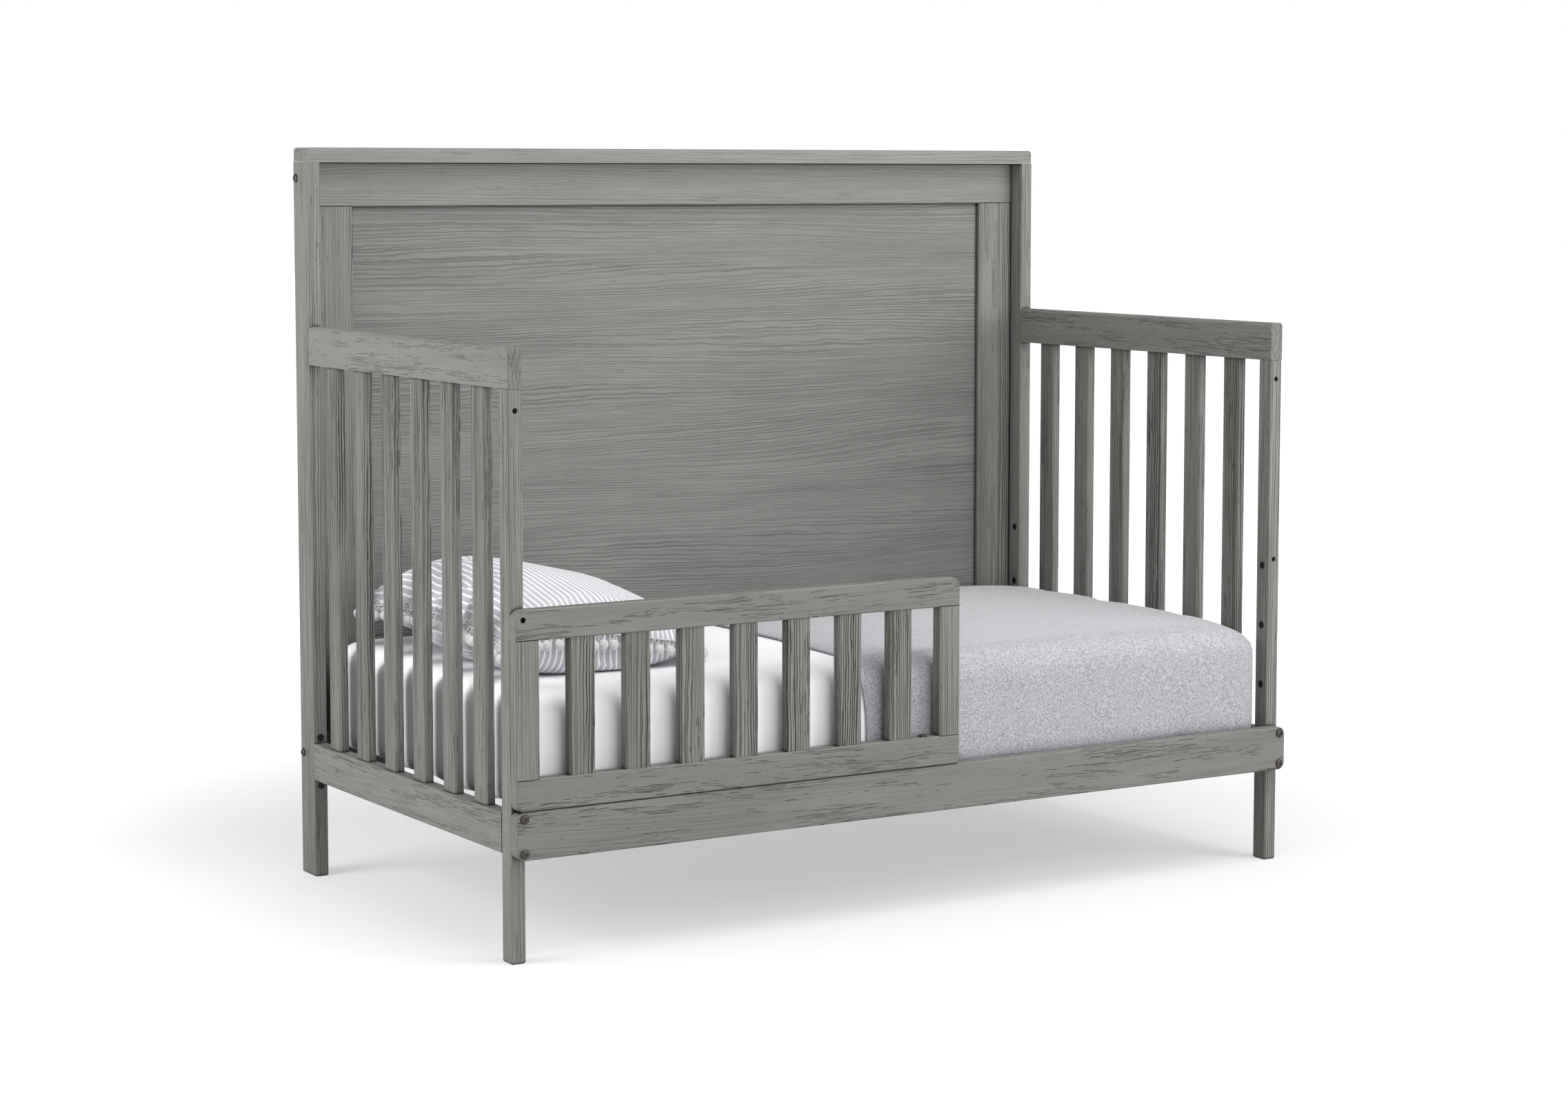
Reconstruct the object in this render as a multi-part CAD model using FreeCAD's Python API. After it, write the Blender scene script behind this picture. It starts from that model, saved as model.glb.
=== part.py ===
import FreeCAD, Part
import os

# Toddler bed made from a convertible crib: a tall panelled headboard along the back, a slatted
# end panel on each side, a low rail along the front and a short slatted guard beside the pillow.
# X runs along the bed, the open side faces -Y, Z is up.  The origin is on the floor, in the
# middle of the footprint.  All sizes are millimetres.

V = FreeCAD.Vector
X_AXIS, Y_AXIS, Z_AXIS = V(1, 0, 0), V(0, 1, 0), V(0, 0, 1)

# ---------------------------------------------------------------- driving dimensions
# Sleeping space of a full-size crib
inside_length = 1330.0          # between the end panels' posts
inside_depth = 711.0            # headboard frame to front rail

# Headboard
bed_height = 1140.0             # floor to the top of the cap
cap_thickness = 22.0
cap_ease = 5.0
post_width = 22.5               # every post, seen from the front
back_post_depth = 52.0
post_ease = 2.5
foot_bevel = 2.0
headboard_recess = 31.0         # frame set back from the posts' front faces
headboard_board = 20.0          # thickness of the frame's rails and stiles
headboard_rail_height = 69.0
headboard_clear = 157.5         # floor to the bottom rail
stile_width = 68.0
panel_thickness = 6.0
panel_recess = 9.0
groove_depth = 8.0

# End panels
end_height = 864.0              # floor to the top of the end rail
end_top_rail_height = 59.5
end_top_ease = 6.0
end_bottom_rail_height = 58.0
end_clear = 153.5
front_post_depth = 29.0
end_slat_count = 6
end_slat_width = 41.0
end_slat_thickness = 14.5
end_slat_margin = 53.75         # posts to the first and last slats

# Front rail
front_rail_height = 68.5
front_rail_thickness = 20.0
front_rail_clear = 149.5
front_rail_corner = 12.0

# Guard
guard_length = 742.0
guard_height = 282.0
guard_top_rail_height = 43.5
guard_bottom_rail_height = 44.5
guard_stile_width = 36.0
guard_slat_count = 7
guard_slat_width = 40.5
guard_slat_thickness = 16.5
guard_top_corner = 15.0
guard_bottom_corner = 10.0

# Joinery
board_bevel = 1.5               # bevelled long edges of rails and stiles
slat_bevel = 2.5
tenon_length = 10.0
tenon_shoulder = 3.0            # step from the slat's faces down to its tenon
tenon_clearance = 0.2           # all round a tenon in its mortise
panel_clearance = 0.2           # each side of the panel in its groove
joint_reveal = 0.4              # open line between parts that are bolted up at home

# Hardware
bolt_radius = 3.0
bolt_hole_clearance = 0.5
bolt_head_radius = 6.5
bolt_head_height = 2.4
bolt_crown_radius = 4.2
bolt_bite = 22.0                # length of shank in the second part
post_bolt_drop = 25.0           # headboard's upper bolts below the posts' tops
front_bolt_inset = 9.5          # front rail's bolts from its top and bottom edges
insert_bore = 3.0
insert_depth = 15.0
insert_spare = 2.0              # bore left beyond a bolt's end
thread_clearance = 0.1
bed_rail_insert_offset = 9.0    # full-size bed rail inserts above and below the end panel's rail
guard_hole_radius = 4.0
guard_hole_height = 486.5       # crosswise holes in the front posts
crib_hole_drop = 29.5           # upper crosswise holes below the front posts' tops
cap_screw_radius = 2.5
cap_screw_head_radius = 4.1
cap_screw_head = 5.0
cap_screw_sink = 11.0           # depth of the counterbore in the guard's top rail
guard_nut_radius = 6.5
guard_nut_thickness = 1.5

# Mattress support: a steel angle frame with a deck of flat bars
support_levels = 4
support_pitch = 96.0
support_lowest = 188.0          # lowest insert above the floor
support_insert_setback = 14.0   # behind the back posts' front faces
angle_leg = 35.0
angle_flange = 25.0
angle_wall = 2.0
angle_play = 0.3                # end angles to the posts' inner faces
support_side_gap = 3.0          # long angles to the headboard frame and the front rail
flange_over_bolt = 11.5         # flanges' upper faces above the lowest inserts
slat_bar_width = 24.0           # cross bars of the deck
slat_bar_thickness = 3.0
slat_bar_pitch = 88.0
slat_bar_end_gap = 6.0          # cross bars stop short of the angles' outer faces
tie_bar_count = 3

# Bedding
mattress_end_gap = 12.0         # mattress to the posts' inner faces
mattress_side_gap = 13.5        # mattress to the headboard frame and the front rail
mattress_thickness = 168.0
mattress_edge = 26.0
mattress_corner = 30.0
soft_gap = 0.4                  # air between soft parts and what they lie on
sheet_thickness = 1.0
blanket_thickness = 2.4
blanket_setback = 543.0         # mattress's left end to the blanket's edge
blanket_hem = 3.0               # hem above the mattress's underside
pillow_length = 486.0           # along Y
pillow_width = 338.0
pillow_height = 138.0
pillow_corner = 45.0
pillow_puff = 40.0              # rounding between the pillow's faces and its seam
pillow_end_gap = 37.0           # mattress's left end to the pillow
pillow_back_gap = 56.5          # mattress's back to the pillow
trim_radius = 7.0               # pom-pom trim around the seam

# ---------------------------------------------------------------- derived places
side_x = inside_length / 2                      # posts' inner faces
outer_x = side_x + post_width
post_mid_x = side_x + post_width / 2
end_span = inside_depth - headboard_recess - front_post_depth
total_depth = back_post_depth + end_span + front_post_depth + front_rail_thickness
back_y = total_depth / 2
post_front_y = back_y - back_post_depth         # back posts' front faces
front_post_back_y = post_front_y - end_span
front_post_front_y = front_post_back_y - front_post_depth
front_y = front_post_front_y - front_rail_thickness
headboard_y = post_front_y + headboard_recess   # front face of the headboard's frame
headboard_mid_y = headboard_y + headboard_board / 2
panel_y = headboard_y + panel_recess
space_mid_y = (headboard_y + front_post_front_y) / 2
front_post_mid_y = front_post_back_y - front_post_depth / 2
front_mid_y = front_y + front_rail_thickness / 2

cap_z = bed_height - cap_thickness
back_post_top = cap_z - joint_reveal
headboard_top_z = back_post_top - headboard_rail_height
headboard_low_z = headboard_clear + headboard_rail_height
end_top_z = end_height - end_top_rail_height
end_low_z = end_clear + end_bottom_rail_height
front_post_top = end_top_z - joint_reveal
front_rail_top = front_rail_clear + front_rail_height
guard_z = front_rail_top + joint_reveal
guard_low_z = guard_z + guard_bottom_rail_height
guard_high_z = guard_z + guard_height - guard_top_rail_height
guard_left = -outer_x
guard_right = guard_left + guard_length
guard_bay = guard_length - 2 * guard_stile_width
guard_gap = (guard_bay - guard_slat_count * guard_slat_width) / (guard_slat_count + 1)
end_slat_gap = ((end_span - 2 * end_slat_margin - end_slat_count * end_slat_width) /
                (end_slat_count - 1))
bolt_hole = bolt_radius + bolt_hole_clearance
support_front_y = front_post_mid_y
support_back_y = post_front_y + support_insert_setback
flange_top = support_lowest + flange_over_bolt
deck_top = flange_top + slat_bar_thickness
mattress_z = deck_top + soft_gap
mattress_top = mattress_z + mattress_thickness
mattress_half_x = side_x - mattress_end_gap
mattress_half_y = inside_depth / 2 - mattress_side_gap
blanket_x = blanket_setback - mattress_half_x
pillow_centre_x = pillow_end_gap + pillow_width / 2 - mattress_half_x
pillow_centre_y = space_mid_y + mattress_half_y - pillow_back_gap - pillow_length / 2

SIDES = (("left", -1), ("right", 1))


# ---------------------------------------------------------------- helpers
def box(x0, x1, y0, y1, z0, z1):
    """Box between two limits on each axis, given in any order."""
    low = V(min(x0, x1), min(y0, y1), min(z0, z1))
    return Part.makeBox(abs(x1 - x0), abs(y1 - y0), abs(z1 - z0), low)


def straight_edges(shape, axis):
    """Edges that run along one axis."""
    found = []
    for edge in shape.Edges:
        if edge.Curve.TypeId == "Part::GeomLine":
            if abs(abs(edge.tangentAt(edge.FirstParameter).dot(axis)) - 1) < 1e-6:
                found.append(edge)
    return found


def ease(shape, axis, radius):
    """Round all the edges that run along one axis."""
    return shape.makeFillet(radius, straight_edges(shape, axis))


def bevel(shape, axis, size):
    """Bevel all the edges that run along one axis."""
    return shape.makeChamfer(size, straight_edges(shape, axis))


def bevel_at(shape, size, test):
    """Bevel the edges whose midpoint passes a test."""
    return shape.makeChamfer(size, [e for e in shape.Edges if test(e.CenterOfMass)])


def ease_at(shape, radius, test):
    """Round the edges whose midpoint passes a test."""
    return shape.makeFillet(radius, [e for e in shape.Edges if test(e.CenterOfMass)])


def rod(start, direction, radius, length):
    return Part.makeCylinder(radius, length, start, direction)


def save(name, *solids):
    shape = solids[0] if len(solids) == 1 else Part.makeCompound(list(solids))
    shape.exportStep("parts/" + name + ".step")


def bolt(seat, outward, shank):
    """Button-head bolt: the head's flat lies at the seat and the shank runs inward."""
    head = Part.makeCone(bolt_head_radius, bolt_crown_radius, bolt_head_height, seat, outward)
    return head.fuse(rod(seat, -outward, bolt_radius, shank))


def threaded_bore(mouth, outward):
    """Blind bore of a threaded insert that is set flush in a post."""
    return rod(mouth + outward, -outward, insert_bore, insert_depth + 1)


def slat(x0, x1, y0, y1, z0, z1):
    """Upright slat with bevelled long edges and a stub tenon at each end."""
    blade = bevel(box(x0, x1, y0, y1, z0, z1), Z_AXIS, slat_bevel)
    tenon = box(x0 + tenon_shoulder, x1 - tenon_shoulder, y0 + tenon_shoulder, y1 - tenon_shoulder,
                z0 - tenon_length, z1 + tenon_length)
    return blade.fuse(tenon)


def mortise(x0, x1, y0, y1, z0, z1):
    """Pocket for the two tenons of a slat, with clearance all round."""
    inset = tenon_shoulder - tenon_clearance
    reach = tenon_length + tenon_clearance
    return box(x0 + inset, x1 - inset, y0 + inset, y1 - inset, z0 - reach, z1 + reach)


# ---------------------------------------------------------------- where the hardware goes
support_heights = [support_lowest + level * support_pitch for level in range(support_levels)]
bed_rail_heights = (end_clear - bed_rail_insert_offset, end_low_z + bed_rail_insert_offset)
headboard_bolt_heights = (back_post_top - post_bolt_drop, headboard_clear + headboard_rail_height / 2)
front_bolt_heights = (front_rail_clear + front_bolt_inset, front_rail_top - front_bolt_inset)
crib_hole_height = front_post_top - crib_hole_drop
guard_bolt_x = guard_right - guard_stile_width - guard_gap / 2


def headboard():
    cap = box(-outer_x, outer_x, post_front_y, back_y, cap_z, bed_height)
    cap = ease_at(cap, cap_ease, lambda p: p.z > cap_z + 1)
    save("headboard_cap", cap)

    for side, s in SIDES:
        post = box(s * side_x, s * outer_x, post_front_y, back_y, 0, back_post_top)
        post = ease(post, Z_AXIS, post_ease)
        post = bevel_at(post, foot_bevel, lambda p: p.z < 0.01)
        for z in headboard_bolt_heights:
            post = post.cut(rod(V(s * side_x - s, headboard_mid_y, z), V(s, 0, 0), bolt_hole,
                                post_width + 2))
        for z in support_heights:
            post = post.cut(threaded_bore(V(s * side_x, support_back_y, z), V(-s, 0, 0)))
        for z in bed_rail_heights:
            post = post.cut(threaded_bore(V(s * post_mid_x, post_front_y, z), V(0, -1, 0)))
        save("headboard_post_" + side, post)

    # The frame is grooved all round on its inner edges, and the panel floats in the grooves
    groove_y = (panel_y - panel_clearance, panel_y + panel_thickness + panel_clearance)
    reach = groove_depth + panel_clearance
    stile_x = side_x - stile_width
    groove = box(-stile_x - reach, stile_x + reach, groove_y[0], groove_y[1],
                 headboard_low_z - reach, headboard_top_z + reach)
    rail_y = (headboard_y, headboard_y + headboard_board)
    for name, z0, z1 in (("top", headboard_top_z, back_post_top),
                         ("bottom", headboard_clear, headboard_low_z)):
        rail = bevel(box(-side_x, side_x, rail_y[0], rail_y[1], z0, z1), X_AXIS, board_bevel)
        rail = rail.cut(groove)
        bolt_z = headboard_bolt_heights[0 if name == "top" else 1]
        for side, s in SIDES:
            rail = rail.cut(rod(V(s * side_x + s, headboard_mid_y, bolt_z), V(-s, 0, 0), bolt_hole,
                                bolt_bite + 2))
        save("headboard_" + name + "_rail", rail)
    for side, s in SIDES:
        stile = bevel(box(s * side_x, s * stile_x, rail_y[0], rail_y[1], headboard_low_z,
                          headboard_top_z), Z_AXIS, board_bevel)
        save("headboard_stile_" + side, stile.cut(groove))
    save("headboard_panel", box(-stile_x - groove_depth, stile_x + groove_depth, panel_y,
                                panel_y + panel_thickness, headboard_low_z - groove_depth,
                                headboard_top_z + groove_depth))


def end_panel(side, s):
    slat_x = (s * post_mid_x - end_slat_thickness / 2, s * post_mid_x + end_slat_thickness / 2)
    first_y = front_post_back_y + end_slat_margin
    slats = [(slat_x[0], slat_x[1], y, y + end_slat_width, end_low_z, end_top_z)
             for y in (first_y + k * (end_slat_width + end_slat_gap) for k in range(end_slat_count))]

    top = box(s * side_x, s * outer_x, front_post_front_y, post_front_y, end_top_z, end_height)
    top = ease_at(top, end_top_ease,
                  lambda p: p.z > end_height - 0.01 and abs(abs(p.x) - post_mid_x) > 1)
    bottom = box(s * side_x, s * outer_x, front_post_back_y + joint_reveal, post_front_y,
                 end_clear, end_low_z)
    bottom = bevel(bottom, Y_AXIS, board_bevel)
    for limits in slats:
        top, bottom = top.cut(mortise(*limits)), bottom.cut(mortise(*limits))
    save("end_" + side + "_top_rail", top)
    save("end_" + side + "_bottom_rail", bottom)
    for number, limits in enumerate(slats, 1):
        save("end_%s_slat_%d" % (side, number), slat(*limits))

    post = box(s * side_x, s * outer_x, front_post_front_y, front_post_back_y, 0, front_post_top)
    post = ease(post, Z_AXIS, post_ease)
    post = bevel_at(post, foot_bevel, lambda p: p.z < 0.01)
    for z in support_heights:
        post = post.cut(threaded_bore(V(s * side_x, support_front_y, z), V(-s, 0, 0)))
    for z in (guard_hole_height, crib_hole_height):
        post = post.cut(rod(V(s * post_mid_x, front_post_front_y - 1, z), Y_AXIS,
                            guard_hole_radius, front_post_depth + 2))
    for z in front_bolt_heights:
        post = post.cut(rod(V(s * post_mid_x, front_post_front_y - 1, z), Y_AXIS,
                            bolt_hole, bolt_bite + 2))
    save("front_post_" + side, post)


def front_rail():
    rail = box(-outer_x, outer_x, front_y, front_post_front_y, front_rail_clear, front_rail_top)
    rail = ease(rail, Y_AXIS, front_rail_corner)
    rail = bevel_at(rail, board_bevel, lambda p: abs(p.y - front_y) < 0.01)
    for side, s in SIDES:
        for z in front_bolt_heights:
            rail = rail.cut(rod(V(s * post_mid_x, front_y - 1, z), Y_AXIS, bolt_hole,
                                front_rail_thickness + 2))
    rail = rail.cut(rod(V(guard_bolt_x, front_mid_y, front_rail_top + 1), V(0, 0, -1), bolt_hole,
                        bolt_bite + 2))
    save("front_rail", rail)


def guard():
    slat_y = (front_mid_y - guard_slat_thickness / 2, front_mid_y + guard_slat_thickness / 2)
    first_x = guard_left + guard_stile_width + guard_gap
    slats = [(x, x + guard_slat_width, slat_y[0], slat_y[1], guard_low_z, guard_high_z)
             for x in (first_x + k * (guard_slat_width + guard_gap) for k in range(guard_slat_count))]

    top = box(guard_left, guard_right, front_y, front_post_front_y, guard_high_z,
              guard_z + guard_height)
    top = top.makeFillet(guard_top_corner, [e for e in straight_edges(top, Y_AXIS)
                                            if e.CenterOfMass.z > guard_high_z + 1])
    bottom = box(guard_left, guard_right, front_y, front_post_front_y, guard_z, guard_low_z)
    bottom = bottom.makeFillet(guard_bottom_corner, [e for e in straight_edges(bottom, Y_AXIS)
                                                     if e.CenterOfMass.z < guard_low_z - 1])
    top = bevel_at(top, board_bevel, lambda p: abs(p.y - front_y) < 0.01)
    bottom = bevel_at(bottom, board_bevel, lambda p: abs(p.y - front_y) < 0.01)
    for limits in slats:
        top = top.cut(mortise(*limits))
        bottom = bottom.cut(mortise(*limits))
    # counterbored hole over the front post's, and an upright hole down into the front rail
    top = top.cut(rod(V(-post_mid_x, front_y - 1, guard_hole_height), Y_AXIS,
                      cap_screw_radius + bolt_hole_clearance, front_rail_thickness + 2))
    top = top.cut(rod(V(-post_mid_x, front_y - 1, guard_hole_height), Y_AXIS,
                      cap_screw_head_radius + thread_clearance, cap_screw_sink + 1))
    bottom = bottom.cut(rod(V(guard_bolt_x, front_mid_y, guard_z - 1), Z_AXIS, bolt_hole,
                            guard_bottom_rail_height + 2))
    save("guard_top_rail", top)
    save("guard_bottom_rail", bottom)
    for side, x0 in (("left", guard_left), ("right", guard_right - guard_stile_width)):
        stile = box(x0, x0 + guard_stile_width, front_y, front_post_front_y, guard_low_z,
                    guard_high_z)
        save("guard_stile_" + side, bevel(stile, Z_AXIS, board_bevel))
    for number, limits in enumerate(slats, 1):
        save("guard_slat_%d" % number, slat(*limits))


def bolts():
    headboard_bolts, rail_bolts, support_bolts = [], [], []
    for side, s in SIDES:
        headboard_bolts += [bolt(V(s * outer_x, headboard_mid_y, z), V(s, 0, 0),
                                 post_width + bolt_bite) for z in headboard_bolt_heights]
        rail_bolts += [bolt(V(s * post_mid_x, front_y, z), V(0, -1, 0),
                            front_rail_thickness + bolt_bite) for z in front_bolt_heights]
        wall_x = side_x - angle_play - angle_wall
        support_bolts += [support_bolt(V(s * wall_x, y, support_lowest), V(-s, 0, 0))
                          for y in (support_front_y, support_back_y)]
    save("headboard_bolts", *headboard_bolts)
    save("front_rail_bolts", *rail_bolts)
    save("support_bolts", *support_bolts)

    # The guard hangs on a sunk cap screw through the front post and on one upright bolt
    seat_y = front_y + cap_screw_sink
    shank = front_post_back_y - seat_y
    screw = rod(V(-post_mid_x, seat_y, guard_hole_height), Y_AXIS, cap_screw_radius, shank)
    screw = screw.fuse(rod(V(-post_mid_x, seat_y - cap_screw_head, guard_hole_height), Y_AXIS,
                           cap_screw_head_radius, cap_screw_head))
    upright = bolt(V(guard_bolt_x, front_mid_y, guard_low_z), Z_AXIS,
                   guard_bottom_rail_height + joint_reveal + bolt_bite)
    nut = rod(V(-post_mid_x, front_post_back_y, guard_hole_height), Y_AXIS, guard_nut_radius,
              guard_nut_thickness)
    save("guard_bolts", screw.fuse(nut), upright)


def support_bolt(seat, inward):
    """Bolt through an end angle into the insert behind it, slim enough for the insert's bore."""
    depth = angle_wall + angle_play + insert_depth - insert_spare
    return rod(seat, inward, bolt_head_radius, bolt_head_height).fuse(
        rod(seat, -inward, insert_bore - thread_clearance, depth))


def mattress_support():
    long_x = side_x - angle_play - angle_wall
    span_y = (front_post_front_y + support_side_gap, headboard_y - support_side_gap)
    low_z = flange_top - angle_leg
    for name, wall_y, inward in (("front", span_y[0], 1), ("back", span_y[1], -1)):
        leg = box(-long_x, long_x, wall_y, wall_y + inward * angle_wall, low_z, flange_top)
        flange = box(-long_x, long_x, wall_y, wall_y + inward * angle_flange,
                     flange_top - angle_wall, flange_top)
        save("support_angle_" + name, leg.fuse(flange).removeSplitter())
    for side, s in SIDES:
        outer = s * (side_x - angle_play)
        leg = box(outer, outer - s * angle_wall, span_y[0], span_y[1], low_z, flange_top)
        flange = box(outer, outer - s * angle_flange, span_y[0] + angle_flange,
                     span_y[1] - angle_flange, flange_top - angle_wall, flange_top)
        end = leg.fuse(flange).removeSplitter()
        for y in (support_front_y, support_back_y):
            end = end.cut(rod(V(outer + s, y, support_lowest), V(-s, 0, 0), bolt_hole,
                              angle_wall + 2))
        save("support_angle_" + side, end)

    # Cross bars lie on the long flanges, and lengthwise ties run under them
    bar_y = (span_y[0] + slat_bar_end_gap, span_y[1] - slat_bar_end_gap)
    reach = long_x - angle_flange - slat_bar_width
    count = int(2 * reach // slat_bar_pitch)
    half = count * slat_bar_pitch / 2
    half_width = slat_bar_width / 2
    bars = [box(x - half_width, x + half_width, bar_y[0], bar_y[1], flange_top, deck_top)
            for x in (k * slat_bar_pitch - half for k in range(count + 1))]
    save("support_cross_bars", *bars)
    ties = []
    for k in range(tie_bar_count):
        y = span_y[0] + (span_y[1] - span_y[0]) * (k + 1) / (tie_bar_count + 1)
        ties.append(box(-half - half_width, half + half_width, y - half_width, y + half_width,
                        flange_top - slat_bar_thickness, flange_top))
    save("support_tie_bars", *ties)


def mattress_block(grow, low):
    """The mattress's outline grown all round, from a given height up."""
    half_x = mattress_half_x + grow
    half_y = mattress_half_y + grow
    block = box(-half_x, half_x, space_mid_y - half_y, space_mid_y + half_y, low,
                mattress_top + grow)
    block = ease(block, Z_AXIS, mattress_corner + grow)
    top = mattress_top + grow
    return bevel_at(block, mattress_edge, lambda p: abs(p.z - top) < 0.01)


def bedding():
    mattress = mattress_block(0, mattress_z)
    save("mattress", mattress)

    sheet_in, sheet_out = soft_gap, soft_gap + sheet_thickness
    sheet = mattress_block(sheet_out, mattress_z).cut(mattress_block(sheet_in, mattress_z - 1))
    save("fitted_sheet", sheet)

    blanket_in = sheet_out + soft_gap
    blanket_out = blanket_in + blanket_thickness
    hem_z = mattress_z + blanket_hem
    blanket = mattress_block(blanket_out, hem_z).cut(mattress_block(blanket_in, hem_z - 1))
    left_half = box(-outer_x, blanket_x, front_y, back_y, 0, bed_height)
    save("blanket", blanket.cut(left_half))

    low = mattress_top + sheet_out + soft_gap
    half_x, half_y = pillow_width / 2, pillow_length / 2
    pillow = box(pillow_centre_x - half_x, pillow_centre_x + half_x, pillow_centre_y - half_y,
                 pillow_centre_y + half_y, low, low + pillow_height)
    pillow = ease(pillow, Z_AXIS, pillow_corner)
    pillow = bevel_at(pillow, pillow_puff,
                      lambda p: p.z < low + 0.01 or p.z > low + pillow_height - 0.01)
    save("pillow", pillow)

    # The trim is a band along the seam half way up
    seam_z = low + pillow_height / 2
    bands = []
    for off in (soft_gap, soft_gap + 2 * trim_radius):
        band = box(pillow_centre_x - half_x - off, pillow_centre_x + half_x + off,
                   pillow_centre_y - half_y - off, pillow_centre_y + half_y + off,
                   seam_z - trim_radius, seam_z + trim_radius)
        bands.append(ease(band, Z_AXIS, pillow_corner + off))
    save("pillow_trim", bands[1].cut(bands[0]))


os.makedirs("parts", exist_ok=True)
headboard()
for panel_side, panel_sign in SIDES:
    end_panel(panel_side, panel_sign)
front_rail()
guard()
bolts()
mattress_support()
bedding()
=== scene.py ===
import math

import bpy
import bmesh
import numpy as np
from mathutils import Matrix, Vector, noise as turbulence
from mathutils.bvhtree import BVHTree


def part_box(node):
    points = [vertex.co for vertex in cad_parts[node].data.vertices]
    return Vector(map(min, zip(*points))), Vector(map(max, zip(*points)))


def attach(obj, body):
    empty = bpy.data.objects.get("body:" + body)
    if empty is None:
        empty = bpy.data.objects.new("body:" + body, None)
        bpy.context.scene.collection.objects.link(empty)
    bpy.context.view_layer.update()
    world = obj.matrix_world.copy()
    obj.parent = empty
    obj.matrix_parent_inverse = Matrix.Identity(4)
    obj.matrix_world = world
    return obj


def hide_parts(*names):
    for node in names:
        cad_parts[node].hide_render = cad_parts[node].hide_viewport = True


# A grey, wire-brushed toddler bed with its mattress, sheet, blanket and pillow.
# X runs along the bed, the open side faces -Y and Z is up; everything is in metres.

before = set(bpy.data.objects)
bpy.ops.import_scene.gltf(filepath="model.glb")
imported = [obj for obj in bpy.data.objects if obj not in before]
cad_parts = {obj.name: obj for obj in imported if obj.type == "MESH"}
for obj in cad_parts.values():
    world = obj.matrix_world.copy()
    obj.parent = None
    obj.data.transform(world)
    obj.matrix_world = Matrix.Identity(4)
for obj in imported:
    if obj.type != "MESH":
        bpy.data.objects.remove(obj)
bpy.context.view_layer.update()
scene = bpy.context.scene


# ------------------------------------------------------------------ node helpers
def put(tree, kind, inputs, **settings):
    """Add a node; an input is either a value or another node's output."""
    node = tree.nodes.new(kind)
    for key, value in settings.items():
        setattr(node, key, value)
    for key, value in inputs.items():
        if isinstance(value, bpy.types.NodeSocket):
            tree.links.new(value, node.inputs[key])
        else:
            node.inputs[key].default_value = value
    return node


def sums(tree, operation, *values):
    """A Math node's result."""
    return put(tree, "ShaderNodeMath", dict(enumerate(values)), operation=operation).outputs[0]


def vectors(tree, operation, a, b):
    return put(tree, "ShaderNodeVectorMath", {0: a, 1: b}, operation=operation).outputs[0]


def remap(tree, value, low, high, to_low=0.0, to_high=1.0, smooth=True):
    node = put(tree, "ShaderNodeMapRange", {"Value": value, "From Min": low, "From Max": high,
                                            "To Min": to_low, "To Max": to_high})
    node.interpolation_type = "SMOOTHSTEP" if smooth else "LINEAR"
    return node.outputs["Result"]


def noise(tree, vector, scale, detail, roughness):
    return put(tree, "ShaderNodeTexNoise", {"Vector": vector, "Scale": scale, "Detail": detail,
                                            "Roughness": roughness}).outputs["Fac"]


def tint(tree, factor, a, b):
    """Blend of two colours."""
    return put(tree, "ShaderNodeMix", {0: factor, 6: a, 7: b}, data_type="RGBA").outputs[2]


def new_group(name, inputs, outputs, family="Shader"):
    """A node group with named sockets; inputs are given as name: (type, default)."""
    tree = bpy.data.node_groups.new(name, family + "NodeTree")
    for key, (kind, default) in inputs.items():
        socket = tree.interface.new_socket(key, in_out="INPUT", socket_type="NodeSocket" + kind)
        if default is not None:
            socket.default_value = default
    for key, kind in outputs.items():
        tree.interface.new_socket(key, in_out="OUTPUT", socket_type="NodeSocket" + kind)
    source = tree.nodes.new("NodeGroupInput").outputs
    result = tree.nodes.new("NodeGroupOutput").inputs
    return tree, source, result


def placed(name, data):
    """A new object in the scene."""
    piece = bpy.data.objects.new(name, data)
    scene.collection.objects.link(piece)
    return piece


def piece_from(bm, name):
    """A new object from a bmesh, which is used up."""
    mesh = bpy.data.meshes.new(name)
    bm.to_mesh(mesh)
    bm.free()
    return placed(name, mesh)


def linear(r, g, b):
    """Colour given in display values from 0 to 255."""
    def one(v):
        v /= 255
        return v / 12.92 if v <= 0.04045 else ((v + 0.055) / 1.055) ** 2.4
    return (one(r), one(g), one(b), 1)


def new_material(name, **constants):
    """Material with one Principled shader, whose plain values are given by name."""
    material = bpy.data.materials.new(name)
    material.use_nodes = True
    shader = material.node_tree.nodes["Principled BSDF"]
    for key, value in constants.items():
        shader.inputs[key.replace("_", " ")].default_value = value
    return material, material.node_tree, shader


# ------------------------------------------------------------------ wood
def strands(tree, place, across, pitch, bends, run, width, low, high):
    """Thin lines along X, PITCH of them in a metre, each set off, broken up and swelling on its own."""
    row = sums(tree, "ADD", sums(tree, "MULTIPLY", across, pitch), bends)
    number = sums(tree, "FLOOR", row)
    along = put(tree, "ShaderNodeSeparateXYZ", {0: place}).outputs[0]
    spot = put(tree, "ShaderNodeCombineXYZ", {0: sums(tree, "MULTIPLY", along, run),
                                              1: sums(tree, "MULTIPLY", number, 7.31)})
    level = noise(tree, spot.outputs[0], 1, 2, 0.6)
    there = remap(tree, level, low, high)
    half = remap(tree, level, low, 0.75, width * 0.5, width, False)
    place_in_row = put(tree, "ShaderNodeTexWhiteNoise", {"W": number}, noise_dimensions="1D").outputs["Value"]
    place_in_row = remap(tree, place_in_row, 0, 1, 0.22, 0.78, False)
    off = sums(tree, "ABSOLUTE", sums(tree, "SUBTRACT", sums(tree, "FRACT", row), place_in_row))
    line = remap(tree, off, sums(tree, "MULTIPLY", half, 0.7), half, 1.0, 0.0)
    return sums(tree, "MULTIPLY", line, there)


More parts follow.
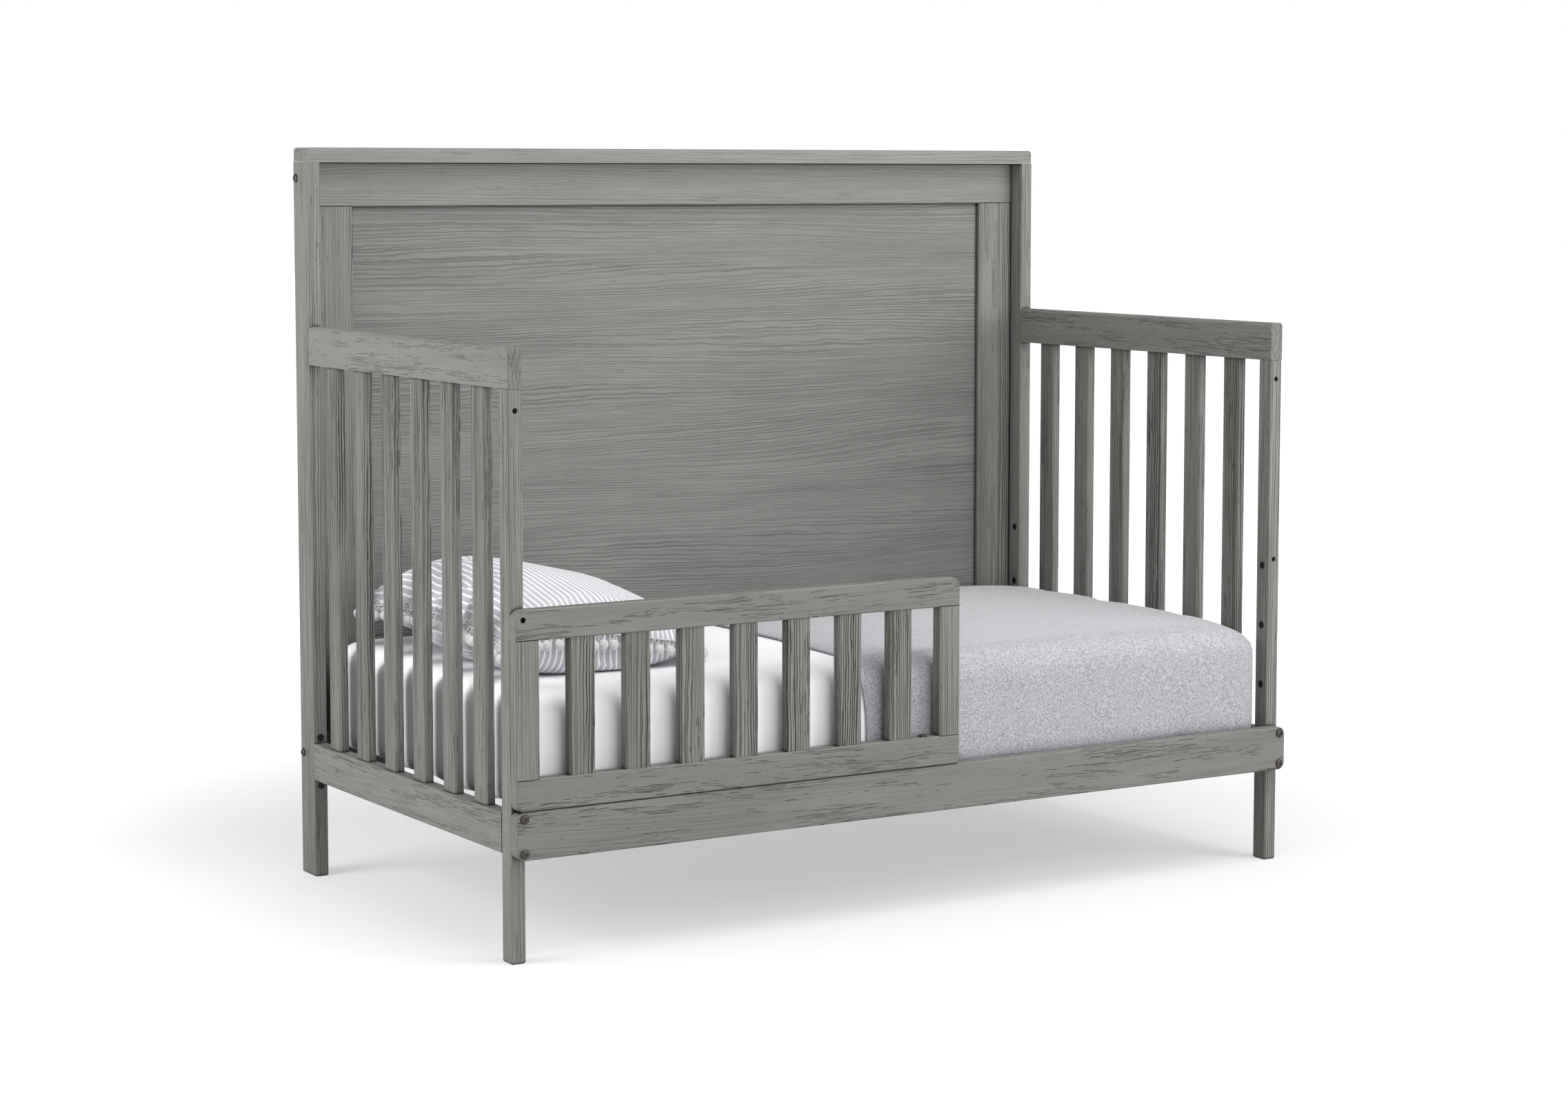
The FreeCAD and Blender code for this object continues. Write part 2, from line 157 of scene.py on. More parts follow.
def brushed_grain():
    """Grey stain over wire-brushed wood.  The grain runs along the vector's X axis."""
    tree, source, result = new_group("BrushedGrain", {
        "Vector": ("Vector", None), "Facing": ("Vector", None),
        "Lines": ("Float", 0.5), "Faint": ("Float", 0.22), "Plain": ("Float", 0.3),
        "Spacing": ("Float", 260.0), "Breaks": ("Float", 7.0), "Wave": ("Float", 1.0),
        "Dashes": ("Float", 1.0), "Spread": ("Float", 0.5), "Fineness": ("Float", 520.0),
        "Ends": ("Float", 0.6),
        "Light": ("Color", (1, 1, 1, 1)), "Dark": ("Color", (0, 0, 0, 1))},
        {"Color": "Color", "Roughness": "Float", "Height": "Float"})
    place = source["Vector"]
    across = put(tree, "ShaderNodeVectorMath", {0: place, 1: (0, 1, 0.87)}, operation="DOT_PRODUCT")
    across = across.outputs["Value"]

    # growth lines: long, thin and nearly straight, closer together in some places
    sway = noise(tree, vectors(tree, "MULTIPLY", place, (1.0, 9, 9)), 1, 1, 0.4)
    sway = sums(tree, "MULTIPLY", sums(tree, "MULTIPLY", sway, 16.0), source["Wave"])
    shiver = noise(tree, vectors(tree, "MULTIPLY", place, (16, 60, 60)), 1, 2, 0.6)
    shiver = sums(tree, "MULTIPLY", shiver, 1.3)
    bends = sums(tree, "ADD", sway, shiver)
    lines = strands(tree, place, across, source["Spacing"], bends, source["Breaks"], 0.30, 0.32, 0.46)
    faint = strands(tree, place, across, 560, sums(tree, "MULTIPLY", bends, 1.9), 9.0, 0.30, 0.35, 0.6)
    # bold lines come in bundles
    bundle = noise(tree, vectors(tree, "MULTIPLY", place, (1.3, 24, 24)), 1, 2, 0.5)
    bundle = remap(tree, bundle, 0.36, 0.60, source["Plain"], 1.0)
    lines = sums(tree, "MULTIPLY", lines, sums(tree, "MULTIPLY", bundle, source["Lines"]))
    lines = sums(tree, "MAXIMUM", lines, sums(tree, "MULTIPLY", faint, source["Faint"]))

    # short dark dashes, crowded in patches where the brush dug in
    patch = noise(tree, vectors(tree, "MULTIPLY", place, (4.5, 42, 42)), 1, 2, 0.7)
    patch = remap(tree, sums(tree, "ADD", patch, sums(tree, "SUBTRACT", source["Spread"], 0.5)), 0.45, 0.60)
    gate = sums(tree, "SUBTRACT", 0.66, sums(tree, "MULTIPLY", patch, 0.19))
    dashes = strands(tree, place, across, source["Fineness"], sums(tree, "MULTIPLY", bends, 2.2), 20.0, 0.30,
                     gate, sums(tree, "ADD", gate, 0.05))
    pores = sums(tree, "MAXIMUM", sums(tree, "MULTIPLY", dashes, source["Dashes"]), lines)

    # end grain: fine wavy rings, darker because it soaks up more stain
    end = put(tree, "ShaderNodeSeparateXYZ", {0: source["Facing"]}).outputs[0]
    end = remap(tree, sums(tree, "ABSOLUTE", end), 0.6, 0.85)
    bend = noise(tree, vectors(tree, "MULTIPLY", place, (0, 45, 45)), 1, 2, 0.5)
    ring = put(tree, "ShaderNodeCombineXYZ", {0: sums(tree, "MULTIPLY", bend, 9.0), 1: 0.0, 2: 0.0})
    ring = vectors(tree, "ADD", vectors(tree, "MULTIPLY", place, (0, 520, 60)), ring.outputs[0])
    rings = remap(tree, noise(tree, ring, 1, 2, 0.6), 0.40, 0.55, 1.0, 0.1)
    pores = sums(tree, "ADD", sums(tree, "MULTIPLY", pores, sums(tree, "SUBTRACT", 1.0, end)),
                 sums(tree, "MULTIPLY", rings, sums(tree, "MULTIPLY", end, source["Ends"])))

    # faint fibres and slow cloudiness of the stain under the pores
    fibre = noise(tree, vectors(tree, "MULTIPLY", place, (14, 800, 800)), 1, 2, 0.7)
    cloud = noise(tree, vectors(tree, "MULTIPLY", place, (4, 26, 26)), 1, 3, 0.5)
    shade = sums(tree, "ADD", remap(tree, fibre, 0.3, 0.7, -0.10, 0.10, False),
                 remap(tree, cloud, 0.3, 0.7, -0.10, 0.08, False))
    base = put(tree, "ShaderNodeVectorMath", {0: source["Light"], "Scale": sums(tree, "ADD", shade, 1.0)},
               operation="SCALE").outputs[0]
    colour = tint(tree, pores, base, source["Dark"])
    # painted shade: joints, grooves and faces close to other parts are darkened towards the pore colour
    joint_openness_for_painted_shade = put(tree, "ShaderNodeAmbientOcclusion", {"Distance": 0.006}, samples=6).outputs["AO"]
    colour = tint(tree, remap(tree, joint_openness_for_painted_shade, 0.50, 0.92, 1.0, 0.0), colour, source["Dark"])
    tree.links.new(colour, result["Color"])
    tree.links.new(remap(tree, pores, 0, 1, 0.46, 0.72, False), result["Roughness"])
    tree.links.new(sums(tree, "SUBTRACT", sums(tree, "MULTIPLY", fibre, 0.12), pores), result["Height"])
    return tree


GRAIN = brushed_grain()
QUARTER = math.pi / 2
TURNS = {"x": (0, 0, 0), "y": (0, 0, QUARTER), "z": (0, QUARTER, 0)}
PORE = linear(24, 22, 20)


def wood(name, run, light, **figure):
    """Wood whose grain runs along one of the bed's axes."""
    material, tree, shader = new_material(name, Specular_IOR_Level=0.35)
    spot = tree.nodes.new("ShaderNodeTexCoord")
    place = put(tree, "ShaderNodeMapping", {"Vector": spot.outputs["Object"], "Rotation": TURNS[run]})
    facing = put(tree, "ShaderNodeMapping", {"Vector": spot.outputs["Normal"], "Rotation": TURNS[run]},
                 vector_type="NORMAL")
    grain = put(tree, "ShaderNodeGroup", {"Vector": place.outputs[0], "Facing": facing.outputs[0],
                                          "Light": light, "Dark": PORE, **figure}, node_tree=GRAIN)
    bump = put(tree, "ShaderNodeBump", {"Height": grain.outputs["Height"], "Strength": 0.5,
                                        "Distance": 0.0006})
    tree.links.new(grain.outputs["Color"], shader.inputs["Base Color"])
    tree.links.new(grain.outputs["Roughness"], shader.inputs["Roughness"])
    tree.links.new(bump.outputs[0], shader.inputs["Normal"])
    return material


# painted shade and painted light: the low front and guard rails are toned darker and the high headboard rails
# lighter, for how the light falls with height
rail_wood = wood("RailWood", "x", linear(117, 116, 112), Lines=0.2, Faint=0.07, Plain=0.0, Spacing=190,
                 Breaks=5, Wave=0.8, Dashes=0.9, Spread=0.50, Fineness=620, Ends=0.3)
head_rail_wood = wood("HeadRailWood", "x", linear(128, 127, 123), Lines=0.22, Faint=0.12, Plain=0.2,
                      Spacing=240, Breaks=4, Wave=0.7, Dashes=0.5, Spread=0.38, Fineness=700, Ends=0.5)
panel_wood = wood("PanelWood", "x", linear(120, 120, 117), Lines=0.4, Faint=0.2, Plain=0.5, Spacing=230,
                  Breaks=2.5, Wave=0.9, Dashes=0.3, Spread=0.42)
side_rail_wood = wood("SideRailWood", "y", linear(120, 119, 115), Lines=0.15, Faint=0.08, Plain=0.0,
                      Spacing=210, Breaks=5, Wave=0.9, Dashes=0.85, Spread=0.52, Fineness=720, Ends=0.5)
post_wood = wood("PostWood", "z", linear(126, 125, 121), Lines=0.7, Faint=0.3, Plain=0.2, Spacing=290,
                 Breaks=3, Wave=0.4, Dashes=0.7, Spread=0.44, Fineness=620)
slat_wood = wood("SlatWood", "z", linear(124, 122, 118), Lines=1.0, Faint=0.5, Plain=0.35, Spacing=270,
                 Breaks=2.0, Wave=0.6, Dashes=0.9, Spread=0.46)


def finish_node(name, material):
    """Give a carried-over part its finish."""
    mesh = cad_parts[name].data
    mesh.materials.clear()
    mesh.materials.append(material)


def metal(name, colour, roughness, grit):
    material, tree, shader = new_material(name, Metallic=1.0)
    spot = tree.nodes.new("ShaderNodeTexCoord").outputs["Object"]
    speck = noise(tree, spot, grit, 3, 0.6)
    base = tint(tree, remap(tree, speck, 0.3, 0.7), colour, tuple(c * 0.7 for c in colour[:3]) + (1,))
    # painted shade: sockets, bores and other hollows are darkened towards near black
    recess_openness_for_painted_shade = put(tree, "ShaderNodeAmbientOcclusion", {"Distance": 0.005}, samples=8).outputs["AO"]
    tree.links.new(tint(tree, remap(tree, recess_openness_for_painted_shade, 0.55, 0.95), linear(20, 19, 18), base),
                   shader.inputs["Base Color"])
    tree.links.new(remap(tree, speck, 0.3, 0.7, roughness - 0.08, roughness + 0.12),
                   shader.inputs["Roughness"])
    bump = put(tree, "ShaderNodeBump", {"Height": speck, "Strength": 0.2, "Distance": 0.0002})
    tree.links.new(bump.outputs[0], shader.inputs["Normal"])
    return material


def powder_coat():
    material, tree, shader = new_material("PowderCoat")
    spot = tree.nodes.new("ShaderNodeTexCoord").outputs["Object"]
    peel = noise(tree, spot, 900, 2, 0.5)
    tree.links.new(tint(tree, peel, linear(34, 34, 35), linear(52, 52, 53)),
                   shader.inputs["Base Color"])
    tree.links.new(remap(tree, peel, 0.2, 0.8, 0.38, 0.55), shader.inputs["Roughness"])
    bump = put(tree, "ShaderNodeBump", {"Height": peel, "Strength": 0.3, "Distance": 0.0003})
    tree.links.new(bump.outputs[0], shader.inputs["Normal"])
    return material


zinc = metal("BoltZinc", linear(84, 81, 76), 0.42, 700)
dark_zinc = metal("InsertZinc", linear(66, 64, 61), 0.48, 700)
coat = powder_coat()

for node_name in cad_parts:
    if node_name.startswith("support_") and not node_name.endswith("bolts"):
        finish_node(node_name, coat)
    elif node_name.endswith("bolts"):
        finish_node(node_name, dark_zinc if node_name == "guard_bolts" else zinc)
    elif "slat" in node_name:
        finish_node(node_name, slat_wood)
    elif "post" in node_name or "stile" in node_name:
        finish_node(node_name, post_wood)
    elif node_name == "headboard_panel":
        finish_node(node_name, panel_wood)
    elif node_name.startswith("end_"):
        finish_node(node_name, side_rail_wood)
    elif node_name.startswith("headboard_"):
        finish_node(node_name, head_rail_wood)
    elif node_name not in ("mattress", "fitted_sheet", "blanket", "pillow", "pillow_trim"):
        finish_node(node_name, rail_wood)


# ------------------------------------------------------------------ fabrics
def woven_threads():
    """Crossing threads on any face, with lumps of thicker yarn.  Crossed is 0 in gaps and 1 on threads."""
    tree, source, result = new_group("WovenThreads", {
        "Vector": ("Vector", None), "Threads": ("Float", 1000.0), "Stretch": ("Float", 0.12),
        "Contrast": ("Float", 1.0)}, {"Crossed": "Float", "Yarn": "Float"})
    runs = []
    for axis in range(3):
        stretch = put(tree, "ShaderNodeCombineXYZ", {k: source["Stretch"] if k == axis else 1.0
                                                     for k in range(3)})
        place = vectors(tree, "MULTIPLY", source["Vector"], stretch.outputs[0])
        place = put(tree, "ShaderNodeVectorMath", {0: place, "Scale": source["Threads"]}, operation="SCALE")
        runs.append(noise(tree, place.outputs[0], 1, 1, 0.5))
    total = sums(tree, "ADD", sums(tree, "ADD", runs[0], runs[1]), runs[2])
    crossed = remap(tree, total, 1.2, 1.8, 0, 1)
    middle = sums(tree, "MULTIPLY", sums(tree, "SUBTRACT", crossed, 0.5), source["Contrast"])
    tree.links.new(sums(tree, "ADD", middle, 0.5), result["Crossed"])
    slow = put(tree, "ShaderNodeVectorMath", {0: source["Vector"], "Scale": 60.0}, operation="SCALE")
    tree.links.new(noise(tree, slow.outputs[0], 1, 3, 0.6), result["Yarn"])
    return tree


THREADS = woven_threads()


def cloth(name, light, dark, threads, contrast, bump, stretch=0.12, depth=0.0004, pattern=None,
          coordinate="Object", **constants):
    """Woven cloth: a light and a dark yarn, and a bump from the threads."""
    material, tree, shader = new_material(name, Specular_IOR_Level=0.25, **constants)
    spot = tree.nodes.new("ShaderNodeTexCoord").outputs[coordinate]
    weave = put(tree, "ShaderNodeGroup", {"Vector": spot, "Threads": threads, "Stretch": stretch,
                                          "Contrast": contrast}, node_tree=THREADS)
    colour = tint(tree, weave.outputs["Crossed"], dark, light)
    if pattern:
        colour = pattern(tree, spot, colour)
    tree.links.new(colour, shader.inputs["Base Color"])
    tree.links.new(remap(tree, weave.outputs["Yarn"], 0.3, 0.7, 0.80, 0.95), shader.inputs["Roughness"])
    height = sums(tree, "ADD", weave.outputs["Crossed"],
                  sums(tree, "MULTIPLY", weave.outputs["Yarn"], 0.6))
    raised = put(tree, "ShaderNodeBump", {"Height": height, "Strength": bump, "Distance": depth})
    tree.links.new(raised.outputs[0], shader.inputs["Normal"])
    return material


STRIPE_PITCH, STRIPE_WIDTH = 0.0103, 0.0031


def white_stripes(tree, spot, colour):
    """Thin white stripes that run along the pillow's length."""
    across = put(tree, "ShaderNodeSeparateXYZ", {0: spot}).outputs[0]
    shake = noise(tree, vectors(tree, "MULTIPLY", spot, (900, 900, 0)), 1, 2, 0.6)
    across = sums(tree, "ADD", across, sums(tree, "MULTIPLY", shake, 0.0007))
    place = sums(tree, "PINGPONG", sums(tree, "ADD", across, 10 * STRIPE_PITCH), STRIPE_PITCH / 2)
    line = remap(tree, place, STRIPE_WIDTH / 2 - 0.0003, STRIPE_WIDTH / 2 + 0.0003, 1, 0)
    return tint(tree, line, colour, linear(246, 246, 247))


def ticking_stripes(tree, spot, colour):
    """Narrow woven lines in the mattress cover."""
    across = put(tree, "ShaderNodeSeparateXYZ", {0: spot}).outputs[0]
    place = sums(tree, "PINGPONG", sums(tree, "ADD", across, 2.0), 0.011)
    line = remap(tree, place, 0.0007, 0.0011, 1, 0)
    return tint(tree, sums(tree, "MULTIPLY", line, 0.7), colour, linear(140, 150, 165))


white_cotton = cloth("WhiteCotton", linear(250, 249, 251), linear(240, 239, 242), 1700, 0.7, bump=0.12,
                     Sheen_Weight=0.12)
grey_fleece = cloth("GreyFleece", linear(186, 185, 191), linear(136, 135, 141), 850, 1.0, stretch=0.3,
                    bump=0.2, Sheen_Weight=0.55, Sheen_Roughness=0.35)
striped_cotton = cloth("StripedCotton", linear(195, 196, 202), linear(180, 181, 187), 1500, 0.9, bump=0.15,
                       pattern=white_stripes, coordinate="UV", Sheen_Weight=0.1)
ticking = cloth("MattressTicking", linear(232, 230, 224), linear(214, 212, 206), 1300, 0.9, bump=0.3,
                pattern=ticking_stripes)
white_trim = cloth("WhiteTrim", linear(246, 246, 247), linear(226, 226, 228), 1500, 1.0, stretch=0.6,
                   bump=0.7, depth=0.0012, Sheen_Weight=0.4, Sheen_Roughness=0.5)


# ------------------------------------------------------------------ soft pieces
def make_piece(name, points, faces, material, edges=()):
    mesh = bpy.data.meshes.new(name)
    mesh.from_pydata([tuple(p) for p in points], list(edges), [tuple(f) for f in faces])
    mesh.materials.append(material)
    mesh.polygons.foreach_set("use_smooth", [True] * len(mesh.polygons))
    mesh.update()
    return placed(name, mesh)


def points_of(mesh):
    flat = np.empty(len(mesh.vertices) * 3)
    mesh.vertices.foreach_get("co", flat)
    return flat.reshape(-1, 3)


def normals_of(mesh):
    flat = np.empty(len(mesh.vertices) * 3)
    mesh.vertex_normals.foreach_get("vector", flat)
    return flat.reshape(-1, 3)


def set_points(mesh, points):
    mesh.vertices.foreach_set("co", np.asarray(points, float).ravel())
    mesh.update()


def inflate(piece, pressure, frames, tension, bending):
    """Blow a closed mesh up with Cloth and give back where its points end."""
    solver = piece.modifiers.new("Cloth", "CLOTH")
    settings = solver.settings
    settings.quality = 6
    settings.mass = 0.3
    settings.tension_stiffness = settings.compression_stiffness = tension
    settings.shear_stiffness = tension * 0.4
    settings.bending_stiffness = bending
    settings.air_damping = 4
    settings.use_pressure = True
    settings.uniform_pressure_force = pressure
    settings.effector_weights.gravity = 0
    solver.point_cache.frame_start, solver.point_cache.frame_end = 1, frames
    for step in range(1, frames + 1):
        scene.frame_set(step)
    shaped = piece.evaluated_get(bpy.context.evaluated_depsgraph_get())
    result = points_of(shaped.to_mesh()).copy()
    shaped.to_mesh_clear()
    piece.modifiers.remove(solver)
    scene.frame_set(1)
    return result


def capped(start, end, limits):
    """Moves from start to end, with each direction's way levelled off at its limit."""
    limits = np.asarray(limits, float)
    return start + np.tanh((end - start) / limits) * limits


def swell(spots, scale, seed):
    """Slow waviness between -1 and 1 at each point."""
    return np.array([2 * turbulence.noise(Vector((p[0] * scale[0] + seed, p[1] * scale[1] + 7.1 * seed,
                                            p[2] * scale[2]))) for p in spots])


# ------------------------------------------------------------------ mattress, sheet and blanket
def soft_block(low, high, plan_radius, edge_radius, foot_radius, step):
    """Closed block of square faces with round upright corners and round edges."""
    middle, half = (np.add(low, high)) / 2, (np.subtract(high, low)) / 2
    count = [max(4, int(round(2 * h / step))) for h in half]
    index, spots, faces = {}, [], []

    def corner(key):
        if key not in index:
            index[key] = len(spots)
            spots.append([(2 * k / n - 1) * h for k, n, h in zip(key, count, half)])
        return index[key]

    for axis in range(3):
        a, b = (axis + 1) % 3, (axis + 2) % 3
        for end in (0, count[axis]):
            for i in range(count[a]):
                for j in range(count[b]):
                    quad = []
                    for di, dj in ((0, 0), (1, 0), (1, 1), (0, 1)):
                        key = [0, 0, 0]
                        key[axis], key[a], key[b] = end, i + di, j + dj
                        quad.append(corner(tuple(key)))
                    faces.append(quad if end else quad[::-1])

    spots = np.array(spots)
    size, sign = np.abs(spots), np.sign(spots)
    radius = np.where(sign[:, 2] < 0, foot_radius, edge_radius)[:, None]
    out = np.clip(size - (half - radius), 0, None)
    side, up = out[:, :2].max(1), out[:, 2]
    reach = np.maximum(side, up) / np.maximum(np.hypot(side, up), 1e-9)
    size = size - out + out * reach[:, None]
    out = np.clip(size[:, :2] - (half[:2] - plan_radius), 0, None)
    reach = out.max(1) / np.maximum(np.hypot(out[:, 0], out[:, 1]), 1e-9)
    size[:, :2] += out * (reach[:, None] - 1)
    return size * sign + middle, faces


def crown(spots, low, high, rise, dip):
    """Lift the middle of the top and let its corners fall away."""
    middle, half = np.add(low, high) / 2, np.subtract(high, low) / 2
    u, v, w = np.clip((spots - middle) / half, -1, 1).T
    lift = rise * (1 - u ** 4) * (1 - v ** 2) - dip * (u ** 8) * (v ** 6)
    spots = spots.copy()
    spots[:, 2] += np.clip(w, 0, 1) ** 2 * lift
    return spots


MATTRESS_LOW, MATTRESS_HIGH = (np.array(corner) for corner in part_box("mattress"))
PILLOW_LOW, PILLOW_HIGH = (np.array(corner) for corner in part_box("pillow"))
SHEET_GAP, SHEET_THICK = 0.0008, 0.0007
BLANKET_GAP, BLANKET_THICK = 0.0022, 0.0030
BLANKET_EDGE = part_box("blanket")[0].x
TUCK = 0.045


def make_mattress():
    low, high = MATTRESS_LOW + (0.0015, 0.0015, 0.004), MATTRESS_HIGH + (-0.0015, 0.0015, -0.003)
    spots, faces = soft_block(low, high, 0.014, 0.026, 0.008, 0.0135)
    spots = crown(spots, low, high, 0.006, 0.018)
    piece = make_piece("mattress_core", spots, faces, ticking)
    grown = inflate(piece, 4.0, 16, 25, 4)
    spots = capped(spots, grown, (0.0035, 0.0025, 0.009))
    # the pillow's weight dents the top
    middle, half = (PILLOW_LOW + PILLOW_HIGH) / 2, (PILLOW_HIGH - PILLOW_LOW) / 2
    u, v = ((spots - middle) / half)[:, :2].T
    pressed = 1 / (1 + (np.hypot(u, v) / 1.2) ** 8)
    spots[:, 2] -= 0.011 * pressed * np.clip((spots[:, 2] - MATTRESS_LOW[2]) / 0.15, 0, 1)
    spots[:, 2] = np.maximum(spots[:, 2], low[2])
    set_points(piece.data, spots)
    return piece


def wall_folds(spots, under):
    """Broad soft folds in the sides and gathers in the hem tucked underneath."""
    turned = np.stack([spots[:, 0] + spots[:, 1], spots[:, 0] - spots[:, 1], spots[:, 2] * 0.25], 1)
    up = np.clip((spots[:, 2] - MATTRESS_LOW[2]) / (MATTRESS_HIGH[2] - MATTRESS_LOW[2]), 0, 1)
    folds = 0.0010 * (1 + swell(turned, (13, 13, 13), 2.0)) * (1 - up ** 4)
    folds += 0.0003 * (1 + swell(spots, (7, 7, 7), 5.0))
    gathers = 0.0008 * (1 + swell(spots, (75, 75, 0), 9.0))
    return np.where(under, gathers, folds)


def mattress_cloth(name, material, gap, edge=None):
    """Cloth pulled over the mattress and tucked under it, ending at edge(spot) where that is given."""
    spots, normals = points_of(mattress.data), normals_of(mattress.data)
    middle, half = (MATTRESS_LOW + MATTRESS_HIGH) / 2, (MATTRESS_HIGH - MATTRESS_LOW) / 2
    inset = (half - np.abs(spots - middle))[:, :2].min(1)
    under = spots[:, 2] < MATTRESS_LOW[2] + 0.0045
    spots = spots + normals * (gap + wall_folds(spots, under))[:, None]
    faces = [tuple(f.vertices) for f in mattress.data.polygons
             if not all(under[v] and inset[v] > TUCK for v in f.vertices)]
    used = sorted({v for f in faces for v in f})
    renumber = {v: i for i, v in enumerate(used)}
    piece = make_piece(name, spots[used], [[renumber[v] for v in f] for f in faces], material)
    mesh = piece.data
    if edge:
        # cut along a curved line by straightening it, cutting at x = 0 and bending it back
        bm = bmesh.new()
        bm.from_mesh(mesh)
        for vertex in bm.verts:
            vertex.co.x -= edge(vertex.co)
        bmesh.ops.bisect_plane(bm, geom=bm.verts[:] + bm.edges[:] + bm.faces[:], dist=1e-6,
                               plane_co=(0, 0, 0), plane_no=(1, 0, 0), clear_inner=True)
        for vertex in bm.verts:
            vertex.co.x += edge(vertex.co)
        bm.to_mesh(mesh)
        bm.free()
        mesh.update()
    return piece


def thicken(piece, thick):
    """Give cloth its thickness outwards, as plain mesh."""
    wall = piece.modifiers.new("Thickness", "SOLIDIFY")
    wall.thickness, wall.offset, wall.use_quality_normals = thick, 1.0, True
    settle(piece)


def settle(piece):
    """Turn a piece with its modifiers into plain mesh."""
    shaped = bpy.data.meshes.new_from_object(piece.evaluated_get(bpy.context.evaluated_depsgraph_get()))
    piece.modifiers.clear()
    old, piece.data = piece.data, shaped
    shaped.name = old.name
    bpy.data.meshes.remove(old)


def blanket_edge(spot):
    """Where the blanket ends: a nearly straight hem that swings towards the foot down the side."""
    down = max(0.0, min(1.0, (MATTRESS_HIGH[2] - spot[2]) / 0.16))
    front = 1.0 if spot[1] < 0 else 0.4
    return (BLANKET_EDGE + 0.006 + front * 0.016 * math.sin(math.pi * down * 0.8) +
            0.002 * turbulence.noise(Vector((0, spot[1] * 9, spot[2] * 9))))


# ------------------------------------------------------------------ pillow
SEAM_Z = (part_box("pillow_trim")[0].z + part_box("pillow_trim")[1].z) / 2 - 0.009


def pillow_case():
    """Two flat squares of cloth sewn together round their rim, blown up and set on the mattress.

    Gives back the piece and the numbers of the seam's points, in order."""
    wide, long = 0.378, 0.535
    across, along = 56, 78
    middle = (PILLOW_LOW + PILLOW_HIGH) / 2
    spots, index, flat, side = [], {}, [], []
    for face in (1, -1):
        for j in range(along + 1):
            for i in range(across + 1):
                rim = i in (0, across) or j in (0, along)
                if rim and face < 0:
                    index[face, i, j] = index[1, i, j]
                    continue
                u, v = 2 * i / across - 1, 2 * j / along - 1
                index[face, i, j] = len(spots)
                puff = 0.012 * (1 - u * u) * (1 - v * v)
                # the corners are sewn slightly round
                tuck = 1 - 0.035 * (u * u * v * v) ** 2
                spots.append((middle[0] + u * wide / 2 * tuck, middle[1] + v * long / 2 * tuck,
                              SEAM_Z + face * puff))
                flat.append((u * wide / 2, v * long / 2))
                side.append(0 if rim else face)
    faces = []
    for face in (1, -1):
        for j in range(along):
            for i in range(across):
                quad = [index[face, i, j], index[face, i + 1, j], index[face, i + 1, j + 1],
                        index[face, i, j + 1]]
                faces.append(quad if face > 0 else quad[::-1])
    piece = make_piece("pillow_body", spots, faces, striped_cotton)
    layer = piece.data.uv_layers.new(name="Cloth")
    corners = np.empty(len(piece.data.loops), int)
    piece.data.loops.foreach_get("vertex_index", corners)
    layer.data.foreach_set("uv", np.array(flat)[corners].ravel())
    rim = ([index[1, i, 0] for i in range(across)] + [index[1, across, j] for j in range(along)] +
           [index[1, i, along] for i in range(across, 0, -1)] + [index[1, 0, j] for j in range(along, 0, -1)])

    end = inflate(piece, 3.2, 45, 18, 0.15)
    # fit the blown-up case to the room it has
    room_low, room_high = PILLOW_LOW - (0.012, 0.018, 0), PILLOW_HIGH + (-0.002, 0.009, 0)
    for axis in (0, 1):
        lowest, highest = end[:, axis].min(), end[:, axis].max()
        end[:, axis] = room_low[axis] + (end[:, axis] - lowest) * (
            (room_high[axis] - room_low[axis]) / (highest - lowest))
    u, v = (2 * (end - room_low) / np.maximum(room_high - room_low, 1e-6) - 1)[:, :2].T
    footward, headward = np.clip(u, 0, 1), np.clip(-u, 0, 1)
    end[:, 0] += footward ** 2 * (0.014 * (1 - v ** 2) - 0.024 * v ** 4)
    side = np.array(side)
    rise = np.where(end[:, 2] * side > SEAM_Z * side, np.abs(end[:, 2] - SEAM_Z), 0)
    # the filling has moved towards the head end; the underside hangs full, but tapers towards the foot
    lean = 1.0 - 0.11 * u + 0.04 * headward
    top = (rise / rise[side > 0].max()) ** 0.86 * (PILLOW_HIGH[2] - SEAM_Z + 0.004) * lean
    hull_x = 0.078 * np.where(u < 0, np.sqrt(1.001 - np.clip(u, -1, 1) ** 4),
                              (1.001 - footward ** 1.8) ** 1.1)
    hull_y = np.where(v < 0, 0.10 * np.sqrt(1.001 - np.clip(v, -1, 1) ** 10),
                      0.080 * (1.001 - np.clip(v, 0, 1)) ** 0.9)
    low = (hull_x ** -4 + hull_y ** -4) ** -0.25 * (rise / rise[side < 0].max()) ** 0.15
    end[:, 2] = SEAM_Z + np.select([side > 0, side < 0], [top, -low], 0)
    # the seam falls towards the bed's middle, arches along the head end and hangs at its front corner
    front = np.clip(-v, 0, 1) ** 4
    end[:, 2] += (-0.0015 - 0.024 * footward + 0.010 * headward * (1 - v ** 2).clip(0) +
                  0.009 * front * np.exp(-(u + 0.6) ** 2 / 0.08) -
                  0.010 * front * np.exp(-(u + 1) ** 2 / 0.01))
    set_points(piece.data, end)
    return piece, rim


def rest_pillow(piece):
    """Flatten the underside where it lies on the sheet."""
    end = points_of(piece.data)
    under = bpy.data.objects["fitted_sheet_cloth"]
    tree = BVHTree.FromObject(under, bpy.context.evaluated_depsgraph_get())
    above, clear, soft = 0.6, 0.0012, 0.004
    for spot in end:
        hit = tree.ray_cast(Vector((spot[0], spot[1], above)), Vector((0, 0, -1)))[0]
        floor = hit.z + clear
        gap = spot[2] - floor
        # below the sheet's level the cloth spreads flat, easing in over the last few millimetres
        spot[2] = floor + (soft * math.log1p(math.exp(gap / soft * 2)) / 2 if gap < 4 * soft else gap)
    set_points(piece.data, end)


# ------------------------------------------------------------------ what repeats
def geometry_tree(name, inputs):
    return new_group(name, {"Geometry": ("Geometry", None), **inputs}, {"Geometry": "Geometry"}, "Geometry")


